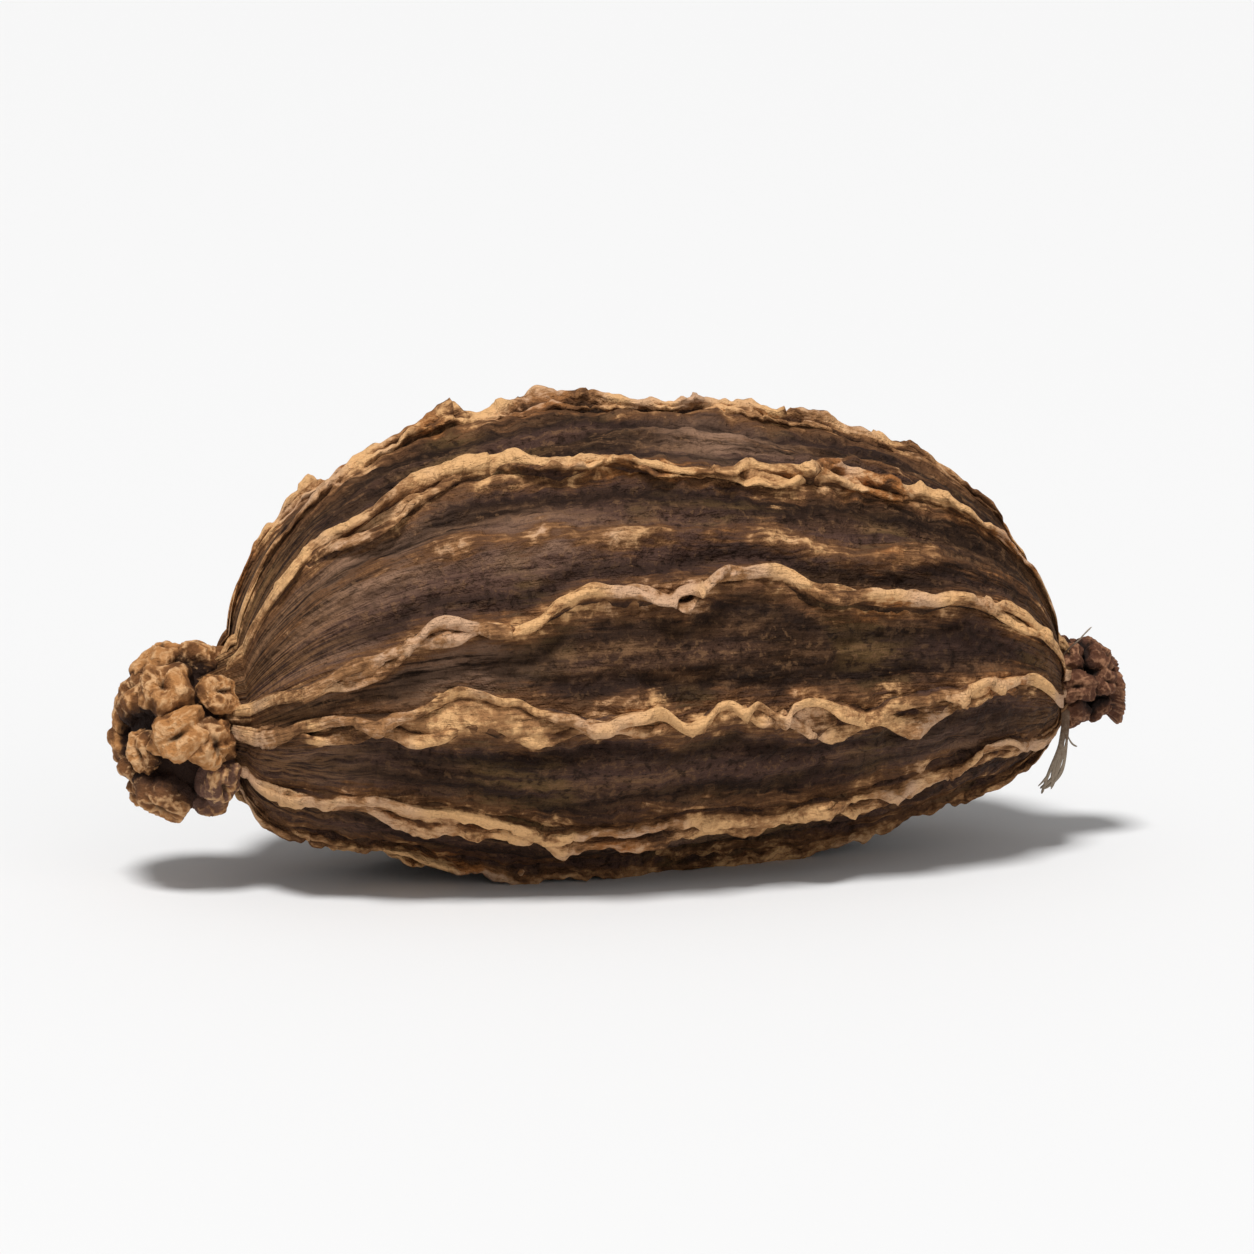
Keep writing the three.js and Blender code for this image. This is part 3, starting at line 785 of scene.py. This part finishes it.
def ball(rows, columns):
    """Unit vectors in rings round the third axis, from its bottom to its top, without the two poles."""
    up = np.pi * np.arange(1, rows)[:, None] / rows
    turned = 2 * np.pi * np.arange(columns)[None, :] / columns
    parts = [np.sin(up) * np.cos(turned), np.sin(up) * np.sin(turned), -np.cos(up)]
    return np.stack(np.broadcast_arrays(*parts), axis=2)


def lobe(size, drawn, seed):
    """A puckered lobe that faces up: a ball made long one way, with a folded groove in its top, which is
    exp(-(x / 0.24)^2 - (y / 0.62)^2) deep, pinched sides and ridged noise."""
    unit = ball(LOBE_ROWS, LOBE_COLUMNS)
    x, y, z = np.moveaxis(unit, 2, 0)
    wander = 0.35 * lattice_noise(y * 1.6 + seed, z * 1.6, x * 0 + 0.5, LOBE_SEEDS["wander"])
    slot = np.exp(-((x - wander) / 0.24) ** 2 - (y / 0.62) ** 2) * (z > -0.2)
    pinch = 0.10 * np.sin(5 * np.arctan2(y, x) + seed) * (1 - z * z)
    broad = lattice_noise(x * 1.7 + seed, y * 1.7, z * 1.7, LOBE_SEEDS["broad"])
    folds = 1 - 2 * np.abs(lattice_noise(x * 3.1 + seed, y * 3.1, z * 2.2, LOBE_SEEDS["folds"]))
    small = 1 - 2 * np.abs(lattice_noise(x * 7 + seed, y * 7, z * 5, LOBE_SEEDS["small"]))
    groove = 0.24 + 0.48 * drawn["groove"]
    radius = 1 + 0.20 * broad + pinch + 0.08 * folds + 0.03 * small - groove * slot
    points = unit * radius[..., None] * size * np.array([1.0, 0.9 + 0.4 * drawn["long"], 0.9])
    # rise runs from the lobe's inner side to its top and slot marks its groove; the finishes paint shade by
    # both
    return points, {"rise": 0.5 + 0.5 * z, "slot": slot, "fold": 0.6 * folds + 0.4 * small}


def among(ends, share):
    """The number at a share of the way between two."""
    low, high = ends
    return low + (high - low) * share


def cluster(spec, neck, petal):
    """The parts of a cluster: a core painted near black as shade, and rings of petals that face away from its
    centre.
    """
    middle = np.array([spec["centre"][0], neck[1] + spec["centre"][1], neck[2] + spec["centre"][2]])
    stretch = np.array(spec["stretch"])
    core = ball(CORE_ROWS, CORE_COLUMNS)
    nothing = 0 * core[..., :1]
    # painted shade: the core is near black all over, filling the middle of the cluster
    dark = {"rise": nothing, "slot": nothing + 1, "fold": nothing, "tint": nothing}
    parts = [rings(middle + core * spec["core"] * stretch, dark)]
    for ring in spec["rings"]:
        for k in range(ring["petals"]):
            drawn = {name: draw(ring["seed"] + seed + k) for name, seed in PETAL_SEEDS.items()}
            off = ring["tilt"] * among(PETAL_TILT, drawn["tilt"])
            turned = (k + among(PETAL_PLACE, drawn["place"])) / ring["petals"] * 2 * np.pi
            outward = direction(off, turned, spec["outward"])
            size = ring["size"] * among(PETAL_SIZE, drawn["size"])
            points, looks = petal(size, drawn, ring["seed"] + 3.7 * k)
            first = np.cross(outward, (0.3, 0.5, 0.8))
            first = first / np.linalg.norm(first)
            second = np.cross(outward, first)
            spin = np.pi * drawn["spin"]
            along = np.cos(spin) * first + np.sin(spin) * second
            across = np.cross(outward, along)
            place = middle + (outward * (ring["reach"] - PETAL_SUNK * size)) * stretch
            looks["tint"] = drawn["tint"] + 0 * looks["rise"]
            parts.append(rings(place + points @ np.stack([along, across, outward]), looks))
    return joined(parts)


# CROWN_SHADE is painted shade, for the creases, the inner sides of the lobes and the core
CROWN_SHADE = (0.018, 0.006, 0.002)
CROWN_BROWN = (0.17, 0.068, 0.022)
CROWN_MAUVE = (0.16, 0.082, 0.058)
CROWN_TAN = (0.45, 0.202, 0.066)
CROWN_PALE = (0.68, 0.40, 0.195)


def crown_finish():
    """Tan lobes, paler on their folded lips, with painted shade, almost black, in the creases, on the lobes'
    inner sides and over the core.
    """
    finish = Finish("crown")
    place = finish.object_place(1.0)
    rise = finish.attribute("rise")
    slot = finish.attribute("slot")
    fold = finish.attribute("fold")
    tint = finish.attribute("tint")
    blotch = finish.noise(place, 1.1, 3.0)
    fine = finish.noise(place, 6.0, 4.0, 0.65)
    # painted shade: each lobe is darker towards its inner side, which faces the core
    colour = finish.mix((rise + (fine - 0.5) * 0.4).between(0.45, 0.80), CROWN_SHADE, CROWN_BROWN)
    colour = finish.mix(tint.between(0.72, 0.86) * 0.8, colour, CROWN_MAUVE)
    tan = (rise * 0.6 + fold * 0.25 + (blotch - 0.5) * 0.9 - (tint - 0.5) * 0.3).between(0.40, 0.68)
    colour = finish.mix(tan, colour, CROWN_TAN)
    pale = (rise * 0.6 + fold * 0.5 + (fine - 0.5) * 0.8).between(0.62, 1.0)
    colour = finish.mix(pale * 0.85, colour, CROWN_PALE)
    # painted shade in the lobes' grooves and over the core
    colour = finish.mix(slot.between(0.35, 0.9) * 0.85, colour, CROWN_SHADE)
    relief = finish.bump(fine, 0.16)
    return finish.set(Base_Color=colour, Roughness=0.78 - pale * 0.2, Normal=relief, Specular_IOR_Level=0.2)


crown_points, crown_faces, crown_looks = cluster(CROWN, axis_point(0.0), lobe)


# The stalk tuft. It is what is left where the capsule broke from its stalk: a short fibrous stub that ends
# in a torn, curled rim round a hollow painted dark as shade, with small puckered knobs round its foot.
TUFT = {
    "centre": (10.95, 0, -0.15), "stretch": (1.0, 1.0, 1.0), "core": 0.6, "outward": 1,
    "rings": [
        {"petals": 6, "tilt": 1.05, "reach": 1.02, "size": 0.36, "seed": 630},
        {"petals": 7, "tilt": 1.95, "reach": 1.04, "size": 0.40, "seed": 690},
    ],
}
STUB_START_X = 9.8
STUB_END_X = 12.05
STUB_FLOOR_X = 11.5  # where the hollow ends
STUB_WAIST = 0.46
STUB_FOOT = 0.45  # added to the waist at the foot
STUB_FLARE = 0.34  # added to it at the rim
STUB_WALL = 0.10  # half thickness
STUB_CURL = 0.25  # how far the rim bends back
STUB_DROOP = 0.12  # how far it comes down along its length
STUB_SEEDS = {"broad": 60, "folds": 61, "fibres": 62}
BROAD_FOLDS = 5
FINE_FOLDS = 11
WALL_STEP = 0.01  # along the wall, to find which way it runs
STUB_ROWS = 110
STUB_AROUND = 150
# TUFT_SHADE is painted shade, for the creases, the inside of the stub and the foot of its outer wall
TUFT_SHADE = (0.012, 0.005, 0.003)
TUFT_BROWN = (0.100, 0.038, 0.019)
TUFT_TAN = (0.38, 0.190, 0.100)


def wave_round(seed, count, angle):
    """A smooth random curve from -1 to 1 round a ring: one draw at each of a number of even angles."""
    s = angle / (2 * np.pi) % 1 * count
    whole = np.floor(s)
    here, after = (2 * draw(seed * DRAWS_PER_SEED + (whole + step) % count) - 1 for step in (0, 1))
    return here + (after - here) * smoothstep(0, 1, s - whole)


def stub_wall(s, angle, inside):
    """X and radius of the middle of the stub's wall, s from 0 at the foot, or at the hollow's floor, to 1 at
    the rim. The foot is added by (1 - s)^2, the flare by s^4 and the curl by s^8, and folds from wave_round
    change the rim's length, the flare and the radius."""
    broad = wave_round(STUB_SEEDS["broad"], BROAD_FOLDS, angle)
    folds = wave_round(STUB_SEEDS["folds"], FINE_FOLDS, angle)
    seed = STUB_SEEDS["fibres"]
    across, up = 8 * np.cos(angle) + NOISE_START, 8 * np.sin(angle) + NOISE_START
    ridges = lattice_noise(across, up, 1.4 * s + 2, seed)
    fibres = 1 - 2 * np.abs(ridges)
    start_x = np.where(inside, STUB_FLOOR_X, STUB_START_X)
    rim_x = STUB_END_X + 0.25 * broad + 0.20 * folds + 0.04 * fibres
    x = start_x + (rim_x - start_x) * s - STUB_CURL * s ** 8 * (1 + folds) / 2
    radius = STUB_WAIST + STUB_FOOT * (1 - s) ** 2 * (1 - inside) + STUB_FLARE * s ** 4 * (1 + 0.3 * broad)
    return np.stack([x, radius * (1 + (0.10 + 0.30 * s) * folds + 0.06 * fibres)]), folds, fibres


def torn_stub():
    """Every point of the stub, in rings from its foot up its outer wall, over the rim and down its inner
    wall. Its wall is a sheet with half its thickness, times the root of a cosine, added across it."""
    q = np.arange(STUB_ROWS + 1)[:, None] / STUB_ROWS
    angle = 2 * np.pi * np.arange(STUB_AROUND)[None, :] / STUB_AROUND
    inside = (q > 0.5) + 0 * angle
    s = (1 - np.cos(2 * np.pi * q)) / 2 + 0 * angle
    outer = np.cos(np.pi * q)
    middle, folds, fibres = stub_wall(s, angle, inside)
    before, _, _ = stub_wall(s - WALL_STEP, angle, inside)
    after, _, _ = stub_wall(s + WALL_STEP, angle, inside)
    along = after - before
    along = along / np.hypot(*along)
    offset = STUB_WALL * np.sign(outer) * np.abs(outer) ** 0.5
    x = middle[0] - along[1] * offset
    radius = middle[1] + along[0] * offset
    _, neck_y, neck_z = axis_point(1.0)
    height = neck_z - STUB_DROOP * (x - BODY_END_X) + radius * np.sin(angle)
    points = np.stack([x, neck_y - radius * np.cos(angle), height], axis=2)
    # painted shade: the inside of the stub is darker except near its rim, its outer wall darker towards its
    # foot, and slot darkens the hollow
    shade = np.where(inside, s ** 12, 0.30 + 0.7 * s ** 5) + 0.25 * folds
    looks = {"rise": shade, "slot": inside * (1 - s ** 6), "fold": fibres, "tint": 0 * shade}
    return points, looks


def tuft_finish():
    """Reddish-brown fibres and knobs with pale lips, and painted shade, almost black, in the creases, inside
    the stub and towards its foot.
    """
    finish = Finish("tuft")
    place = finish.object_place(1.0)
    rise = finish.attribute("rise")
    slot = finish.attribute("slot")
    fold = finish.attribute("fold")
    fine = finish.noise(place, 7.0, 4.0, 0.65)
    # painted shade: darker where rise is low, on the stub's inside and foot and the knobs' inner sides
    colour = finish.mix((rise + (fine - 0.5) * 0.5).between(0.35, 0.75), TUFT_SHADE, TUFT_BROWN)
    pale = (rise * 0.6 + fold * 0.4 + (fine - 0.5) * 0.8).between(0.55, 0.95)
    colour = finish.mix(pale * 0.8, colour, TUFT_TAN)
    # painted shade in the stub's hollow and the knobs' grooves
    colour = finish.mix(slot.between(0.35, 0.9) * 0.85, colour, TUFT_SHADE)
    relief = finish.bump(fine, 0.12)
    return finish.set(Base_Color=colour, Roughness=0.78, Normal=relief, Specular_IOR_Level=0.2)


tuft_points, tuft_faces, tuft_looks = joined([rings(*torn_stub()), cluster(TUFT, axis_point(1.0), lobe)])


# The stalk fibres. A torn strand of the stalk's fibres hangs from the neck below the tuft, and a few single
# threads stand round it, dried to a pale grey brown.
FIBRE_ROWS = 30
FIBRE_AROUND = 10
# Where the strand starts and ends: X, degrees round the pod and distance from its middle line, twice
STRAND = (10.40, -36, 1.10, 9.50, -60, 3.10)
STRAND_THREADS = 7
STRAND_HALF_WIDTH = 0.11
THREAD_RADIUS = 0.05
THREADS = [
    (10.35, -60, 0.95, 10.80, -80, 1.80),
    (10.25, 32, 1.05, 10.60, 50, 1.95),
    (10.25, 150, 1.05, 10.50, 122, 2.00),
]
THREAD_SHRINK = 0.55  # how thick a single thread is beside one of the strand's
FIBRE_ARC = 0.25
THREAD_SEEDS = {"length": 810, "thickness": 830, "path": 850, "single": 890}
FIBRE_PALE = (0.26, 0.205, 0.15)
FIBRE_BROWN = (0.11, 0.066, 0.040)


def fibre(start, end, aside, length, thickness, seed):
    """Every point of one fibre: a round section carried from start towards end in an arc, FIBRE_ARC sin(pi t)
    of its length, moved aside, with a random wave that grows along it and a blunt end, (1 - t^12)^0.5."""
    t = np.arange(FIBRE_ROWS + 1)[:, None] / FIBRE_ROWS
    gone = t * length
    turned = 2 * np.pi * np.arange(FIBRE_AROUND)[None, :] / FIBRE_AROUND
    _, neck_y, neck_z = axis_point(1.0)
    x, degrees, radius = (first + (last - first) * gone for first, last in zip(start, end))
    angle = np.radians(degrees)
    radius = radius + FIBRE_ARC * (end[2] - start[2]) * np.sin(np.pi * gone)
    aside = aside + 0.35 * gone * wave(seed, 1.8 * t)
    outward = np.stack(np.broadcast_arrays(0, -np.cos(angle), np.sin(angle)), axis=2)
    middle = np.stack([x, neck_y + 0 * x, neck_z + 0 * x], axis=2) + radius[..., None] * outward
    thin = thickness * (np.sqrt(1 - t ** 12) * (0.9 + 0.2 * wave(seed + 1, 6 * t)) + 0.01)
    side = np.stack(np.broadcast_arrays(0.87, -0.35 * np.sin(angle), -0.35 * np.cos(angle)), axis=2)
    across = (aside + thin * np.cos(turned))[..., None] * side
    return middle + across + (thin * np.sin(turned))[..., None] * outward, {"along": t + 0 * turned}


def fibre_finish():
    """Dry pale threads, browner where they leave the neck."""
    finish = Finish("fibre")
    along = finish.attribute("along")
    fine = finish.noise(finish.object_place(1.0), 8.0, 3.0, 0.6)
    colour = finish.mix((along + (fine - 0.5) * 0.8).between(0.1, 0.6), FIBRE_BROWN, FIBRE_PALE)
    relief = finish.bump(fine, 0.06)
    return finish.set(Base_Color=colour, Roughness=0.8, Normal=relief, Specular_IOR_Level=0.2)


fibre_parts = []
for thread in range(STRAND_THREADS):
    place = (2 * thread / (STRAND_THREADS - 1) - 1) * STRAND_HALF_WIDTH
    length = between(THREAD_SEEDS["length"] + thread, 0.72, 1.0)
    thickness = THREAD_RADIUS * between(THREAD_SEEDS["thickness"] + thread, 0.6, 1.2)
    seed = THREAD_SEEDS["path"] + 2 * thread
    fibre_parts.append(rings(*fibre(STRAND[:3], STRAND[3:], place, length, thickness, seed)))
for thread, ends in enumerate(THREADS):
    seed = THREAD_SEEDS["single"] + 2 * thread
    fibre_parts.append(rings(*fibre(ends[:3], ends[3:], 0, 1, THREAD_RADIUS * THREAD_SHRINK, seed)))


# Putting the pod together. Its parts are moved as one so that the middle of the pod is over the middle of
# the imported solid, and what would reach below the surface it lies on is pressed flat.
pieces = [
    add_piece("husk_skin", mesh_of("husk_skin", *rings(skin_points, skin_looks)), husk),
    add_piece("calyx_crown", mesh_of("calyx_crown", crown_points, crown_faces, crown_looks), crown_finish()),
    add_piece("stalk_tuft", mesh_of("stalk_tuft", tuft_points, tuft_faces, tuft_looks), tuft_finish()),
    add_piece("stalk_fibres", mesh_of("stalk_fibres", *joined(fibre_parts)), fibre_finish()),
]
for rib in range(MAIN_RIBS):
    pieces.append(add_piece(f"husk_rib_{rib + 1}", rib_mesh(rib), husk))


def point_array(piece):
    """The points of a piece's mesh as an array."""
    flat = np.empty(3 * len(piece.data.vertices))
    piece.data.vertices.foreach_get("co", flat)
    return flat.reshape(-1, 3)


everything = np.concatenate([point_array(piece) for piece in pieces])
shift = np.array(pod_middle) - (everything.min(axis=0) + everything.max(axis=0)) / 2
shift[2] = 0
for piece in pieces:
    settled = point_array(piece) + shift
    settled[:, 2] = np.maximum(settled[:, 2], 0)
    piece.data.vertices.foreach_set("co", settled.ravel())
    piece.data.update()
    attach(piece, "root")
    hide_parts("cardamom_pod")


# The studio. A plain pale surface, a soft light from above and to the left, a weaker one from the front,
# and an even pale sky.
FLOOR_RADIUS = 2.0  # metres
FLOOR_SIDES = 96
FLOOR_COLOUR = (0.76, 0.76, 0.76)
SKY_STRENGTH = 0.32
floor_mesh = bpy.data.meshes.new("floor")
rim = np.linspace(0, 2 * np.pi, FLOOR_SIDES, endpoint=False)
rim_points = np.stack([FLOOR_RADIUS * np.cos(rim), FLOOR_RADIUS * np.sin(rim), 0 * rim], axis=1)
floor_mesh.from_pydata(rim_points, [], [list(range(len(rim)))])
floor_finish = Finish("pale_floor")
floor = add_piece("floor", floor_mesh, floor_finish.set(Base_Color=FLOOR_COLOUR, Roughness=0.7))


def add_sun(name, azimuth, elevation, softness, strength):
    """A distant soft light from an azimuth (0 is in front, 90 at the right) and elevation, in degrees."""
    around, above = np.radians(azimuth), np.radians(elevation)
    towards = Vector((np.sin(around) * np.cos(above), -np.cos(around) * np.cos(above), np.sin(above)))
    sun = bpy.data.objects.new(name, bpy.data.lights.new(name, "SUN"))
    sun.data.energy = strength
    sun.data.angle = np.radians(softness)
    sun.rotation_euler = towards.to_track_quat("Z", "Y").to_euler()
    bpy.context.scene.collection.objects.link(sun)


add_sun("key", -30, 66, 16, 3.2)
add_sun("front_fill", 20, 25, 60, 0.45)

sky = bpy.data.worlds.new("sky")
sky.use_nodes = True
sky.node_tree.nodes["Background"].inputs["Color"].default_value = (1.0, 1.0, 1.0, 1.0)
sky.node_tree.nodes["Background"].inputs["Strength"].default_value = SKY_STRENGTH
bpy.context.scene.world = sky
bpy.context.scene.view_settings.view_transform = "Standard"
